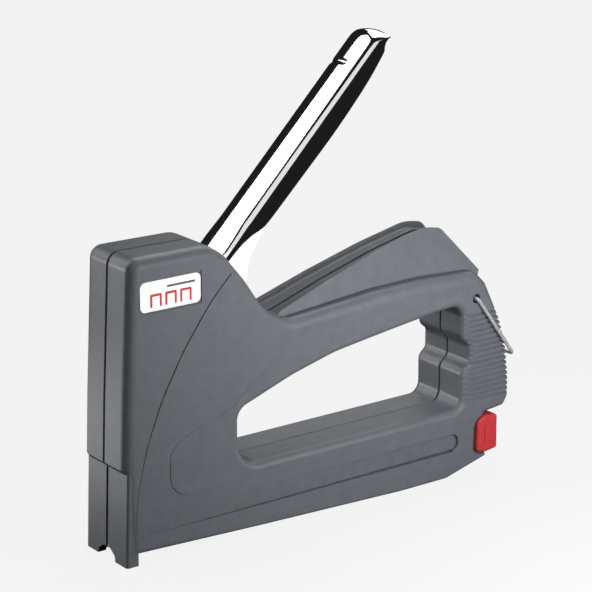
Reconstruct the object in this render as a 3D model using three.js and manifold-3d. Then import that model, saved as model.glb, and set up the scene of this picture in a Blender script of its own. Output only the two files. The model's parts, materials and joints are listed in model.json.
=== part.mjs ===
// Hand staple gun (tacker) for fine wire staples. Millimetres, +Z up, the nose points to -X.
// Side views are drawn in X and Z, with X = 0 at the nose and Z = 0 at the feet, and the finished
// group is then shifted so that the origin is the middle of the base.
import * as THREE from 'three';
import { mergeVertices } from 'three/addons/utils/BufferGeometryUtils.js';
import Module from 'manifold-3d';

const wasm = await Module();
wasm.setup();

// ---- driving dimensions -------------------------------------------------------------------
const HALF_WIDTH = 13;        // half of the housing's width
const SEAM = 0.3;             // each half stops this far from the middle plane
const EDGE_R = 1.9;           // rounding along the outline of the housing
const NOSE_CORNER_R = 3.4;    // rounding of the head's two upright front corners
const NOSE_HALF = 12.2;       // half width of the lower nose
const LEAN_DEG = 2.7;         // the head leans back by this much
const WALL_IN = 10.6;         // the hollow reaches this far out on each side
const PIVOT = [44, 71];       // lever hinge
const LEVER_UP_DEG = 45.5;    // lever above the horizontal at rest
const LEVER_HALF = 8.5;       // half width of the lever
const SHEET = 1.3;            // lever sheet thickness
const WEB_H = 21.3;           // lever back above the hinge, square to the lever
const ROLLER = [25.5, 61];    // roller that lifts the plunger
const SPRING_X = 12.4;        // axis of the main spring
const BAIL = [142.9, 64.3];   // wire bail hinge
const BAIL_REACH = 28.4;      // hinge to crossbar
const BAIL_DOWN_DEG = 54;     // bail below the horizontal at rest
const WIRE_R = 0.75;          // bail wire
const RIB_COUNT = 17;         // grip ribs
const RIB_PITCH = 1.95;
const RIB_LOW = 27.2;
const SCREWS = [[31, 92.5], [34, 25], [69, 61.5], [120, 68.5], [146.5, 33], [84, 20.9]];
const CENTRE_X = 79.4;        // middle of the whole length, measured from the nose datum

// ---- looks ---------------------------------------------------------------------------------
const look = (color, roughness, metalness) =>
  new THREE.MeshStandardMaterial({ color, roughness, metalness });
const SLATE = look(0x565b62, 0.45, 0.1);
const CHROME = look(0xd9dbde, 0.08, 1);
const STEEL = look(0x9aa0a6, 0.35, 1);
const DARK_STEEL = look(0x4b4e52, 0.4, 1);
const RED = look(0xb8282c, 0.4, 0);
const WHITE = look(0xe9e9e6, 0.5, 0);
const RUBBER = look(0x1c1c1e, 0.9, 0);
const BRASS = look(0xb08d46, 0.35, 1);

// ---- small tools ---------------------------------------------------------------------------
const rad = (deg) => (deg * Math.PI) / 180;

// A closed outline from corners [x, z] or [x, z, corner radius].
function outline(corners) {
  const shape = new THREE.Shape();
  const n = corners.length;
  corners.forEach((corner, i) => {
    const here = new THREE.Vector2(corner[0], corner[1]);
    const before = new THREE.Vector2(...corners[(i + n - 1) % n].slice(0, 2)).sub(here);
    const after = new THREE.Vector2(...corners[(i + 1) % n].slice(0, 2)).sub(here);
    const r = corner[2] ?? 0;
    const turn = Math.abs(Math.atan2(before.cross(after), before.dot(after)));
    const cut = r ? Math.min(r / Math.tan(turn / 2), before.length() * 0.49, after.length() * 0.49) : 0;
    const a = here.clone().addScaledVector(before.normalize(), cut);
    const b = here.clone().addScaledVector(after.normalize(), cut);
    if (i === 0) shape.moveTo(a.x, a.y);
    else shape.lineTo(a.x, a.y);
    if (cut) shape.quadraticCurveTo(here.x, here.y, b.x, b.y);
  });
  shape.closePath();
  return shape;
}

// A side outline (X, Z) pulled across the width from y0 to y1. Its edges are rounded by edge, or
// open out by flare, which is the shape that rounds the rim of a hole.
function slab(corners, y0, y1, { edge = 0, flare = 0, rounds = 2, curve = 4 } = {}) {
  const deep = edge + flare;
  const size = edge - flare;
  const bevel = deep
    ? { bevelEnabled: true, bevelThickness: deep, bevelSize: size, bevelOffset: -size, bevelSegments: rounds }
    : { bevelEnabled: false };
  const g = new THREE.ExtrudeGeometry(outline(corners),
    { depth: y1 - y0 - 2 * deep, curveSegments: curve, ...bevel });
  g.rotateX(Math.PI / 2);
  g.translate(0, y1 - deep, 0);
  return g;
}

// A top outline (X, Y) pulled upwards from z0 to z1.
function plate(corners, z0, z1, curve = 4) {
  const g = new THREE.ExtrudeGeometry(outline(corners),
    { depth: z1 - z0, bevelEnabled: false, curveSegments: curve });
  g.translate(0, 0, z0);
  return g;
}

// A front outline (Y, Z) pulled along X from x0 to x1.
function bar(corners, x0, x1) {
  const g = new THREE.ExtrudeGeometry(outline(corners), { depth: x1 - x0, bevelEnabled: false });
  g.rotateX(Math.PI / 2);
  g.rotateZ(Math.PI / 2);
  g.translate(x0, 0, 0);
  return g;
}

function box(x0, x1, y0, y1, z0, z1) {
  const g = new THREE.BoxGeometry(x1 - x0, y1 - y0, z1 - z0);
  g.translate((x0 + x1) / 2, (y0 + y1) / 2, (z0 + z1) / 2);
  return g;
}

// A round bar across the width, centred on (x, z).
function across(x, z, r, y0, y1, sides = 20) {
  const g = new THREE.CylinderGeometry(r, r, y1 - y0, sides);
  g.translate(x, (y0 + y1) / 2, z);
  return g;
}

function manifold(geometry) {
  const g = geometry.clone();
  g.deleteAttribute('normal');
  g.deleteAttribute('uv');
  const m = mergeVertices(g, 1e-4);
  return new wasm.Manifold(new wasm.Mesh({
    numProp: 3,
    vertProperties: new Float32Array(m.attributes.position.array),
    triVerts: new Uint32Array(m.index.array),
  }));
}

function geometryOf(solid) {
  const mesh = solid.getMesh();
  const g = new THREE.BufferGeometry();
  g.setAttribute('position', new THREE.BufferAttribute(new Float32Array(mesh.vertProperties), 3));
  g.setIndex(new THREE.BufferAttribute(new Uint32Array(mesh.triVerts), 1));
  g.computeVertexNormals();
  return g;
}

// The largest body of a solid, without the slivers that tangent cuts can leave.
const mainBody = (solid) => manifold(geometryOf(solid)).decompose()
  .reduce((best, body) => (body.volume() > best.volume() ? body : best));
const join = (first, ...rest) => rest.reduce((all, g) => all.add(manifold(g)), manifold(first));
const cut = (solid, ...tools) => tools.reduce((left, g) => left.subtract(manifold(g)), solid);
const keep = (solid, g) => solid.intersect(manifold(g));

const group = new THREE.Group();
group.name = 'staple_gun';
const assembly = new THREE.Group();
assembly.position.x = -CENTRE_X;
group.add(assembly);

function add(name, shape, material) {
  const geometry = shape.isBufferGeometry ? shape : geometryOf(shape);
  const mesh = new THREE.Mesh(geometry, material);
  mesh.name = name;
  assembly.add(mesh);
  return mesh;
}

// ---- housing -------------------------------------------------------------------------------
const BODY = [
  [1.2, 3.9], [51.2, 2.1], [111, 0], [131.5, 0, 6], [149.3, 4.7], [148.2, 21.1],
  [157.3, 22, 2.5], [159.3, 25.5, 3], [159.2, 33], [157.9, 43.5, 30], [154.8, 54, 30],
  [148.9, 68.6, 6], [144, 73.4, 6], [121, 74.7, 60], [100, 74.3, 60], [62, 71.2, 12],
  [53.6, 76.6, 12], [46, 87.9, 30], [38, 98, 14], [32.6, 101.6, 8], [1.8, 102, 3.4],
  [-0.7, 53.8], [-1.5, 33], [0.4, 30.8], [0.2, 20],
];
const FINGER_HOLE = [
  [42.7, 24.7, 8], [137.6, 24.7, 4], [137.6, 38.4, 1.4], [141, 40.8, 2.4], [141, 47.6, 2.4],
  [137.6, 50, 1.4], [137.6, 62.6, 5], [126, 61.9, 40], [104.6, 59.3, 60], [82.6, 56.4, 60],
  [64.8, 51.9, 60], [42.7, 44.3, 5],
];
const HANDLE_RIB = [
  [60, 66], [64, 71.5], [84, 78.2, 60], [105.7, 84.6, 60], [128, 88.4, 12], [134, 87.6, 6],
  [140.8, 80, 20], [146, 71.6], [144, 66],
];
const HEAD_HOLLOW = [
  [1.8, 18.5], [37, 18.5], [39, 24], [39, 37], [42.5, 45.5], [48.5, 50], [60, 54.8],
  [60, 66], [53.5, 70], [42.5, 86.5], [34.6, 96], [31.5, 98.6], [4.4, 98.6], [1.8, 60],
];
const LEVER_SLOT = [[36.4, 112], [36.4, 60], [58, 60], [57.5, 73], [62, 112]];
const HEAD_FACE = [
  [-9, 34], [-9, 115], [60, 115], [41.3, 92.7, 40], [32.3, 84.1, 60], [21.1, 68.9, 60],
  [13, 54.5, 60], [7, 40, 60], [3.3, 24.7, 60], [1.6, 8], [-9, 8],
];
const BELLY_FACE = [
  [60, 115], [41.3, 92.7, 40], [32.3, 84.1, 60], [21.1, 68.9, 60], [13, 54.5, 60], [7, 40, 60],
  [3.3, 24.7, 60], [1.6, 8], [1.6, -5], [170, -5], [170, 20.2], [23, 20.2, 3], [16, 27, 5],
  [15.6, 36.5, 6], [23, 41, 6], [39, 45.8, 20], [60, 62],
];
const FRAME_FACE_DEPTH = 0.2; // height of each step between the faces of the side

function gripGrooves() {
  const grooves = [];
  for (let i = 0; i < RIB_COUNT; i += 1) {
    const z = RIB_LOW + i * RIB_PITCH;
    const t = (z - 25) / 36;
    const rear = 159.35 - 7.2 * t * t - 0.2 * t;        // the housing's rear outline at this height
    const front = 139.8 + 3.3 * Math.exp(-(((z - 44.2) / 6) ** 2)); // clear of the finger hole's rim
    grooves.push(plate([[front, -16], [170, -16], [170, 16], [front, 16], [front, HALF_WIDTH - 0.55],
      [rear - 0.6, HALF_WIDTH - 0.55, 2.6], [rear - 0.6, 0.55 - HALF_WIDTH, 2.6],
      [front, 0.55 - HALF_WIDTH]], z - 0.42, z + 0.42, 2));
  }
  return grooves;
}

function sideGroove(side) {
  const g = slab([[1.4, 10], [136.3, 10, 2.8], [136.3, 15.7, 2.8], [1.4, 15.7]], 0, 2);
  g.translate(0, 0, -10);
  g.rotateX(rad(3.2 * side));
  g.translate(0, side > 0 ? HALF_WIDTH - 0.6 : 0.6 - HALF_WIDTH - 2, 10);
  return g;
}

function housing(side) {
  const full = slab(BODY, -HALF_WIDTH, HALF_WIDTH, { edge: EDGE_R });
  const fingers = slab(FINGER_HOLE, -HALF_WIDTH - 0.01, HALF_WIDTH + 0.01, { flare: EDGE_R });
  const corners = plate([[-1.6, -HALF_WIDTH, NOSE_CORNER_R], [200, -HALF_WIDTH], [200, HALF_WIDTH],
    [-1.6, HALF_WIDTH, NOSE_CORNER_R]], -20, 130);
  corners.translate(0, 0, -33);
  corners.rotateY(rad(LEAN_DEG));
  corners.translate(0, 0, 33);
  let shell = keep(cut(manifold(full), fingers), corners);
  const noseBlock = plate([[-1.2, -NOSE_HALF, 1.2], [3.4, -NOSE_HALF], [3.4, NOSE_HALF],
    [-1.2, NOSE_HALF, 1.2]], 0, 31.6, 3);
  noseBlock.rotateY(rad(1.9));
  noseBlock.translate(0, 0, 0.04);
  const rib = slab(HANDLE_RIB, -6.5, 6.5, { edge: 1.3 });
  shell = shell.add(keep(manifold(noseBlock), box(-9, 20, -20, 20, 0, 60))).add(manifold(rib));
  // hollows: head, lever slot, magazine, staple outlet
  shell = cut(shell, slab(HEAD_HOLLOW, -WALL_IN, WALL_IN), slab(LEVER_SLOT, -9.3, 9.3),
    box(4, 160, -7.3, 7.3, 5.5, 17), box(1.8, 4.4, -6.8, 6.8, -3, 20),
    box(-6, 2.4, -0.62, 0.62, -2, 31.2),
    bar([[-5.4, -1], [5.4, -1], [4.7, 2], [2, 3.8], [-2, 3.8], [-4.7, 2]], -6, 8));
  // shelf under the rubber stop, lever bearings and screw posts
  shell = shell.add(manifold(box(5.2, 39.6, -WALL_IN - 1, WALL_IN + 1, 33.6, 38.2)))
    .add(manifold(across(...PIVOT, 5.4, 8.9, 12))).add(manifold(across(...PIVOT, 5.4, -12, -8.9)));
  for (const [x, z] of SCREWS.slice(0, 2)) {
    shell = shell.add(manifold(across(x, z, 3.6, -WALL_IN - 1, WALL_IN + 1)));
  }
  // steps between the faces of the sides, the long side groove and the grip
  const out = (corners2, depth) => [
    slab(corners2, HALF_WIDTH - depth, HALF_WIDTH + 5, { curve: 3 }),
    slab(corners2, -HALF_WIDTH - 5, depth - HALF_WIDTH, { curve: 3 })];
  shell = cut(shell, ...out(HEAD_FACE, 2 * FRAME_FACE_DEPTH), ...out(BELLY_FACE, FRAME_FACE_DEPTH),
    sideGroove(1), sideGroove(-1), ...gripGrooves());
  // room for the end cap and the recesses of its cheeks
  shell = cut(shell, box(148.1, 154, -20, 20, 5.9, 21.2), ...[1, -1].map((s) => slab([[143, 21.3], [143, 6.9, 1.6], [146, 5.9], [170, 5.9],
    [170, 21.3]], s > 0 ? 11.8 : -20, s > 0 ? 20 : -11.8)));
  // bores: lever pin, bail ends, nose pin and screws, whose heads are all on the right side
  shell = cut(shell, across(...PIVOT, 2.7, -11.9, 11.9), across(...BAIL, 1.05, -20, -11),
    across(...BAIL, 1.05, 11, 20), across(8, 28.5, 1.4, -11.8, 11.8, 12));
  for (const [x, z] of SCREWS) {
    shell = cut(shell, across(x, z, 1.75, -10.2, 14, 14), across(x, z, 3.1, 10, 14, 16));
  }
  if (side < 0) shell = cut(shell, box(5, 28.6, -14, 0.75 - HALF_WIDTH, 83.7, 94.7));
  const half = side < 0 ? box(-20, 200, -20, -SEAM, -20, 130) : box(-20, 200, SEAM, 20, -20, 130);
  return mainBody(keep(shell, half));
}

// ---- lever ---------------------------------------------------------------------------------
// The lever is drawn along its own length (u) and height (v) from the hinge, then turned up.
const LEVER_END = 109.3;
const CURL = 6.8;
const LEVER_SIDE = [
  [13, 21.8], [LEVER_END + 1, 21.8], [LEVER_END + 1, 17.1, 0.6], [101, 14.9, 12], [88, 12.8, 40],
  [70, 12.1, 60], [42, 13.2, 20], [33, 13.4, 3], [27, 13.1, 8], [20, 10.9, 8], [11.5, 5, 6],
  [7.6, -4, 6], [0, -8.2, 6], [-7.5, -4, 5], [-8, 6, 8],
];
// the back of the channel, d inside its outer face: flat, then curled down round the tip
const leverBack = (d) => [
  [-30, -20], [-30, WEB_H - d], [LEVER_END - d, WEB_H - d, CURL - d], [LEVER_END - d, -20],
];

function turnUp(g) {
  g.rotateY(rad(-LEVER_UP_DEG));
  g.translate(PIVOT[0], 0, PIVOT[1]);
  return g;
}

function leverSheet() {
  const inside = LEVER_HALF - SHEET;
  let sheet = manifold(slab(leverBack(0), -LEVER_HALF, LEVER_HALF, { edge: 3, rounds: 3 }));
  sheet = keep(sheet, slab(LEVER_SIDE, -20, 20));
  sheet = sheet.subtract(manifold(slab(leverBack(SHEET), -inside, inside, { edge: 1.8 })));
  sheet = cut(sheet, across(92, 22.3, 1.5, -12, 12, 16), across(0, 0, 2.62, -12, 12, 24));
  return sheet;
}

function lever() {
  // the two ears run forward to the roller
  const dx = ROLLER[0] - PIVOT[0];
  const dz = ROLLER[1] - PIVOT[1];
  const arm = (y0, y1) => slab([[dx - 3, dz - 2, 2], [dx + 1.5, dz - 3.4, 2.5], [4, -7.6, 3],
    [7, -1, 3], [-4, 7.4, 3], [dx - 2, dz + 3, 2.5]], y0, y1);
  const sheet = geometryOf(leverSheet());
  turnUp(sheet);
  const arms = [arm(LEVER_HALF - SHEET, LEVER_HALF), arm(-LEVER_HALF, SHEET - LEVER_HALF)];
  arms.forEach((g) => g.translate(PIVOT[0], 0, PIVOT[1]));
  return cut(join(sheet, ...arms), across(...PIVOT, 2.62, -12, 12, 24),
    across(...ROLLER, 1.15, -12, 12, 12));
}

// ---- striker and springs ---------------------------------------------------------------------
class Helix extends THREE.Curve {
  constructor(r, length, turns) {
    super();
    Object.assign(this, { r, length, turns });
  }
  getPoint(t, target = new THREE.Vector3()) {
    const a = 2 * Math.PI * this.turns * t;
    return target.set(this.r * Math.cos(a), this.r * Math.sin(a), this.length * t);
  }
}

function coil(r, wire, length, turns, perTurn, sides) {
  const section = new THREE.Shape();
  for (let i = 0; i < sides; i += 1) {
    const a = (2 * Math.PI * i) / sides;
    const p = [wire * Math.cos(a), wire * Math.sin(a)];
    if (i === 0) section.moveTo(...p);
    else section.lineTo(...p);
  }
  return new THREE.ExtrudeGeometry(section,
    { steps: turns * perTurn, extrudePath: new Helix(r, length, turns), bevelEnabled: false });
}

function plunger() {
  const side = slab([[5, 44.2, 0.8], [20.8, 44.2, 0.8], [20.8, 63.1], [28.4, 63.1], [28.4, 66, 0.8],
    [19.2, 66, 0.8], [19.2, 50], [5, 50, 0.8]], -6.4, 6.4);
  return join(side, box(2.75, 6, -2, 2, 46.2, 48.4));
}

function springGuide() {
  const profile = [[0, -27], [1.6, -27], [2.2, -26.2], [2.2, 0], [6.4, 0], [6.4, 2.2], [5.8, 2.7], [0, 2.7]];
  const g = new THREE.LatheGeometry(profile.map((p) => new THREE.Vector2(...p)), 20);
  g.rotateX(Math.PI / 2);
  g.translate(SPRING_X, 0, 95.7);
  return g;
}

// ---- magazine --------------------------------------------------------------------------------
function inverted(outer, sheet, top, low, x0, x1) {
  return bar([[-outer, low], [sheet - outer, low], [sheet - outer, top - sheet], [outer - sheet, top - sheet],
    [outer - sheet, low], [outer, low], [outer, top], [-outer, top]], x0, x1);
}

function pusher() {
  const saddle = inverted(5.9, 0.95, 15.7, 7.2, 56, 67);
  const hub = bar([[-2.9, 7], [2.9, 7], [2.9, 12.4], [-2.9, 12.4]], 56.5, 66);
  const neck = box(57, 65, -0.9, 0.9, 12, 15.2);
  const bore = new THREE.CylinderGeometry(1.5, 1.5, 30, 16);
  bore.rotateZ(Math.PI / 2);
  bore.translate(61, 0, 9.7);
  return cut(join(saddle, hub, neck), bore);
}

function endCap() {
  const block = slab([[143.4, 7.6, 1.4], [148, 6.4], [153.1, 7.1, 1.2], [152.9, 19.8, 1.2], [148.4, 20.6],
    [146, 20, 3], [143.4, 16.8, 3]], -14, 14, { edge: 0.7 });
  const bracket = (s) => {
    const y = s > 0 ? [13.7, 15] : [-15, -13.7];
    return [box(147.4, 147.8, ...y, 10.4, 16.2), box(147.8, 150.6, ...y, 15.8, 16.2),
      box(147.8, 150.6, ...y, 10.4, 10.8)];
  };
  return cut(manifold(block), box(130, 148.5, -12.1, 12.1, 0, 30), ...bracket(1), ...bracket(-1));
}

// ---- bail and screws ---------------------------------------------------------------------------
function lockBail() {
  const y = 14;
  const dx = BAIL_REACH * Math.cos(rad(BAIL_DOWN_DEG));
  const dz = -BAIL_REACH * Math.sin(rad(BAIL_DOWN_DEG));
  const at = (t, yy) => new THREE.Vector3(BAIL[0] + dx * t, yy, BAIL[1] + dz * t);
  const path = new THREE.CurvePath();
  const bend = 1.6;
  const f = bend / BAIL_REACH;
  const line = (a, b) => path.add(new THREE.LineCurve3(a, b));
  const corner = (a, b, c) => path.add(new THREE.QuadraticBezierCurve3(a, b, c));
  line(at(0, -11.5), at(0, bend - y));
  corner(at(0, bend - y), at(0, -y), at(f, -y));
  line(at(f, -y), at(1 - f, -y));
  corner(at(1 - f, -y), at(1, -y), at(1, bend - y));
  line(at(1, bend - y), at(1, y - bend));
  corner(at(1, y - bend), at(1, y), at(1 - f, y));
  line(at(1 - f, y), at(f, y));
  corner(at(f, y), at(0, y), at(0, y - bend));
  line(at(0, y - bend), at(0, 11.5));
  const section = new THREE.Shape();
  section.absarc(0, 0, WIRE_R, 0, 2 * Math.PI);
  return new THREE.ExtrudeGeometry(section,
    { steps: 64, curveSegments: 4, extrudePath: path, bevelEnabled: false });
}

function screw(x, z) {
  const profile = [[0, -19], [0.9, -19], [1.45, -18], [1.45, 0], [2.8, 0], [2.8, 1.2], [2.1, 1.9], [0, 1.9]];
  const g = new THREE.LatheGeometry(profile.map((p) => new THREE.Vector2(...p)), 12);
  const made = cut(manifold(g), box(-0.35, 0.35, 1.1, 3, -1.7, 1.7), box(-1.7, 1.7, 1.1, 3, -0.35, 0.35));
  const turned = geometryOf(made);
  turned.translate(x, 10.2, z);
  return turned;
}

// ---- the assembly ------------------------------------------------------------------------------
add('housing_left', housing(-1), SLATE);
add('housing_right', housing(1), SLATE);
add('label_badge', slab([[5.4, 84.1, 1.8], [28.2, 84.1, 1.8], [28.2, 94.3, 1.8], [5.4, 94.3, 1.8]],
  -12.6, -12.28), WHITE);
add('lever', lever(), CHROME);
add('lever_pin', across(...PIVOT, 2.5, -11.6, 11.6, 24), STEEL);
add('pivot_sleeve', cut(manifold(across(...PIVOT, 4.2, -6.9, 6.9, 24)),
  across(...PIVOT, 2.62, -9, 9, 24)), BRASS);
add('lift_roller', cut(manifold(across(...ROLLER, 1.8, -6.8, 6.8, 16)),
  across(...ROLLER, 1.2, -9, 9, 12)), STEEL);
add('roller_pin', across(...ROLLER, 1, -8.7, 8.7, 12), DARK_STEEL);
add('plunger', plunger(), DARK_STEEL);
add('driver_blade', cut(manifold(box(2.9, 3.8, -5.4, 5.4, 4, 50)), box(2, 5, -2.2, 2.2, 46, 48.6)), STEEL);
const mainSpring = coil(5.4, 0.85, 43.2, 7, 14, 6);
mainSpring.translate(SPRING_X, 0, 51.2);
add('main_spring', mainSpring, STEEL);
add('spring_guide', springGuide(), DARK_STEEL);
add('rubber_stop', slab([[6.2, 38.4, 1], [19, 38.4, 1], [19, 44, 1], [6.2, 44, 1]], -6, 6), RUBBER);
add('nose_plate', box(1.95, 2.6, -6.5, 6.5, 4.2, 44), STEEL);
add('nose_pin', across(8, 28.5, 1.25, -11.5, 11.5, 12), STEEL);
add('magazine_channel', inverted(7.1, 0.8, 16.8, 5.8, 4.6, 142), STEEL);
add('staple_rail', cut(manifold(inverted(4.7, 0.8, 14, 6.3, 4.6, 148.3)),
  box(16, 140, -1.2, 1.2, 10, 20)), STEEL);
add('staple_strip', inverted(5.65, 0.7, 15, 7.2, 4.2, 55.6), STEEL);
add('pusher', pusher(), DARK_STEEL);
const rod = new THREE.CylinderGeometry(1.2, 1.2, 90.3, 14);
rod.rotateZ(Math.PI / 2);
rod.translate(58 + 45.15, 0, 9.7);
add('guide_rod', rod, STEEL);
const pusherSpring = coil(2.3, 0.4, 79.4, 14, 10, 5);
pusherSpring.rotateY(Math.PI / 2);
pusherSpring.translate(67.5, 0, 9.7);
add('pusher_spring', pusherSpring, STEEL);
add('catch_leaf', slab([[128.4, 14.3], [147.8, 14.3], [147.8, 14.8], [138.6, 14.8], [136.6, 15.7, 0.6],
  [134.6, 14.8], [128.4, 14.8]], -3, 3), STEEL);
add('magazine_cap', endCap(), RED);
add('lock_bail', lockBail(), STEEL);
SCREWS.forEach(([x, z], i) => add(`housing_screw_${i + 1}`, screw(x, z), DARK_STEEL));

export default group;
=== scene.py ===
"""Looks of a hand staple gun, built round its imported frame. Run as a script; sizes are millimetres."""
import json
import math

import bmesh
import bpy
from bpy.props import FloatProperty, FloatVectorProperty, IntProperty, PointerProperty
from mathutils import Matrix, Vector


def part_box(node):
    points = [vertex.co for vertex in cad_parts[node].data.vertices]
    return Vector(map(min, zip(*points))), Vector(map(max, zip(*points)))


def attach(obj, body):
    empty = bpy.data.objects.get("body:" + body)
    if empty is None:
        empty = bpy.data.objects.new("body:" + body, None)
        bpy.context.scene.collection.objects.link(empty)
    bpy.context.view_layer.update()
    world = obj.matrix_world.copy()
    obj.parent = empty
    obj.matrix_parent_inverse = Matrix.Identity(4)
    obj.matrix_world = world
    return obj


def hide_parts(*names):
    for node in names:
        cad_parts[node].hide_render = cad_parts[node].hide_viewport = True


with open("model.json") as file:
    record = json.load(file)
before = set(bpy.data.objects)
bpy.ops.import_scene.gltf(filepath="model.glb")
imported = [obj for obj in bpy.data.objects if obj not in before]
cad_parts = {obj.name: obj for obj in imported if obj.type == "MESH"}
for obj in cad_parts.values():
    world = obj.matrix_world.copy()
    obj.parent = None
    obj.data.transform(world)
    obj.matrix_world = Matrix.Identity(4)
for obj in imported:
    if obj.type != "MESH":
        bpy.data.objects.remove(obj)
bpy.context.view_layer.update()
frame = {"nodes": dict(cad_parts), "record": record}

bl_info = {
    "name": "Hand staple gun",
    "version": (1, 0, 0),
    "blender": (4, 5, 0),
    "location": "View3D > Sidebar > Staple gun",
    "description": "Builds the looks of a hand staple gun round its packed frame",
    "category": "Add Mesh",
}

MM = 0.001
NOSE_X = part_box("housing_left")[0].x + 1.5 * MM  # the nose datum of the side outlines
HALF_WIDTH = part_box("housing_right")[1].y / MM  # outer face of each side
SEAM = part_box("housing_right")[0].y / MM  # each half stops this far from the middle
PIVOT = (44.0, 71.0)  # lever hinge
BAIL_HINGE = (142.9, 64.3)

HEAD_STEP = 0.39  # the head's face lies this far inside the frame's
BELLY_STEP = 0.3  # the belly's face lies this far inside at its foot, and rises out upwards
BELLY_FOOT, BELLY_HEIGHT = 18, 44
RAIL_TOP = 10  # lower edge of the side groove
GROOVE_HEIGHT = 5.7
HEAD_BAY_HALF = 10.6  # half widths of the hollows inside the housing
LEVER_BAY_HALF = 9.3
MAGAZINE_BAY_HALF = 7.3
FOOT_HALF = 12.2
CHEEK_FACE = 11.8  # the cap's cheeks lie in recesses that go in to here
LABEL_FLOOR = 12.25
NOSE_STEP_HEIGHT = 31.5
SLOPE_ROUND = 2.7  # edge of the head's rear slope
HANDLE_START, HANDLE_BLEND = 56, 14  # where the handle's wider rounding begins, and how soon it is full
SCREWS = range(1, 7)
PIN_BORE = 2.7
EAR_BORE = 2.62

# Side outlines: corners (x, z) or (x, z, corner radius). BODY, FINGER_HOLE and CAP run anticlockwise
# as seen from the left side, so inset() moves them inwards. HANDLE_RIB runs clockwise and moves outwards.
BODY = [
    (1.2, 3.9), (51.2, 2.1), (111, 0), (131.5, 0, 6), (149.4, 4.7), (148.2, 21.1),
    (157.3, 22, 2.5), (159.3, 25.5, 3), (159.2, 33), (157.9, 43.5, 30), (154.8, 54, 30),
    (148.9, 68.6, 6), (144, 73.4, 6), (121, 74.7, 60), (100, 74.3, 60), (62, 71.2, 12),
    (53.6, 76.6, 12), (46, 87.9, 30), (38, 98, 14), (32.6, 101.6, 8), (1.8, 102, 4.4),
    (-0.7, 53.8), (-1.5, 33), (0.4, 30.8), (0.2, 20),
]
FINGER_HOLE = [
    (42.7, 24.7, 8), (137.6, 24.7, 4), (137.6, 38.4, 3.6), (141, 40.8, 2.6), (141, 47.6, 2.6),
    (137.6, 50, 3.6), (137.6, 62.6, 4.5), (126, 61.9, 40), (104.6, 59.3, 60), (82.6, 56.4, 60),
    (64.8, 51.9, 60), (42.7, 44.3, 5),
]
HANDLE_RIB = [
    (60, 66), (64, 71.5), (84, 78.2, 60), (105.7, 84.6, 60), (124.8, 89, 14), (131.4, 87.8, 3),
    (146, 72), (144, 66),
]
HEAD_HOLLOW = [
    (1.8, 18.5), (37, 18.5), (39, 24), (39, 37), (42.5, 45.5), (48.5, 50), (60, 54.8),
    (60, 66), (53.5, 70), (42.5, 86.5), (34.6, 96), (31.5, 98.6), (4.4, 98.6), (1.8, 60),
]
LEVER_SLOT = [(36.4, 112), (36.4, 60), (58, 60), (57.5, 73), (62, 112)]
SWEEP = [(41.3, 92.7, 40), (32.3, 84.1, 60), (21.1, 68.9, 60), (13, 54.5, 60), (7, 40, 60),
         (3.3, 24.7, 60), (1.6, 8)]
HEAD_FACE = [(-9, 8), (-9, 115), (60, 115)] + SWEEP
BELLY_FACE = [(60, 115)] + SWEEP + [
    (1.6, -5), (170, -5), (170, 20.2), (15.6, 20.2, 7.5), (15.6, 36.5, 6),
    (23, 41, 6), (39, 45.8, 20), (60, 62),
]
SIDE_GROOVE = [(1.4, 10), (136.3, 10, 2.8), (136.3, 15.7, 2.8), (1.4, 15.7)]
CAP = [(144.0, 7.6, 1.6), (148.4, 6.7), (153.4, 7.4, 1.0), (153.2, 19.9, 0.9), (148.8, 20.6),
       (144.3, 19.3, 6.5)]
EAR = [
    (14, 20.3), (29, 17.2), (33, 14.4, 1.5), (31.5, 13.1, 2), (27, 12.6, 8), (20, 10.9, 8),
    (11.5, 5, 6), (7.6, -4, 6), (0, -8.2, 6), (-7.5, -4, 5), (-8, 6, 8),
]


class StapleGunSizes(bpy.types.PropertyGroup):
    """Sizes that shape the visible pieces."""

    edge_round: FloatProperty(
        name="Edge rounding", description="Rounding along the outline of the housing",
        default=1.9 * MM, min=0.0005, max=0.003, unit="LENGTH")
    rim_round: FloatProperty(
        name="Rim rounding", description="Rounding round the finger opening",
        default=2.5 * MM, min=0.001, max=0.003, unit="LENGTH")
    handle_round: FloatProperty(
        name="Handle rounding", description="Rounding along the top of the handle",
        default=4.0 * MM, min=0.001, max=0.005, unit="LENGTH")
    nose_round: FloatProperty(
        name="Nose rounding", description="Rounding of the head's two upright front corners",
        default=3.4 * MM, min=0.001, max=0.005, unit="LENGTH")
    grip_ribs: IntProperty(
        name="Grip ribs", description="Grooves moulded round the back of the handle",
        default=17, min=1, max=24)
    rib_pitch: FloatProperty(
        name="Rib pitch", description="Distance from one grip groove to the next",
        default=1.95 * MM, min=0.001, max=0.004, unit="LENGTH")
    sheet: FloatProperty(
        name="Lever sheet", description="Thickness of the lever's sheet steel",
        default=1.3 * MM, min=0.0005, max=0.003, unit="LENGTH")
    wire: FloatProperty(
        name="Bail wire", description="Diameter of the wire bail",
        default=1.3 * MM, min=0.0005, max=0.003, unit="LENGTH")


class StapleGunColours(bpy.types.PropertyGroup):
    """Colours of the finishes."""

    slate: FloatVectorProperty(
        name="Housing", description="Colour of the slate grey coat",
        default=(0.102, 0.110, 0.122), subtype="COLOR", min=0, max=1, size=3)
    red: FloatVectorProperty(
        name="Magazine cap", description="Colour of the magazine cap",
        default=(0.42, 0.035, 0.04), subtype="COLOR", min=0, max=1, size=3)
    chrome: FloatVectorProperty(
        name="Chrome", description="Colour of the chrome plate",
        default=(0.93, 0.94, 0.95), subtype="COLOR", min=0, max=1, size=3)
    label: FloatVectorProperty(
        name="Label", description="Colour of the label",
        default=(0.86, 0.86, 0.84), subtype="COLOR", min=0, max=1, size=3)


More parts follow.
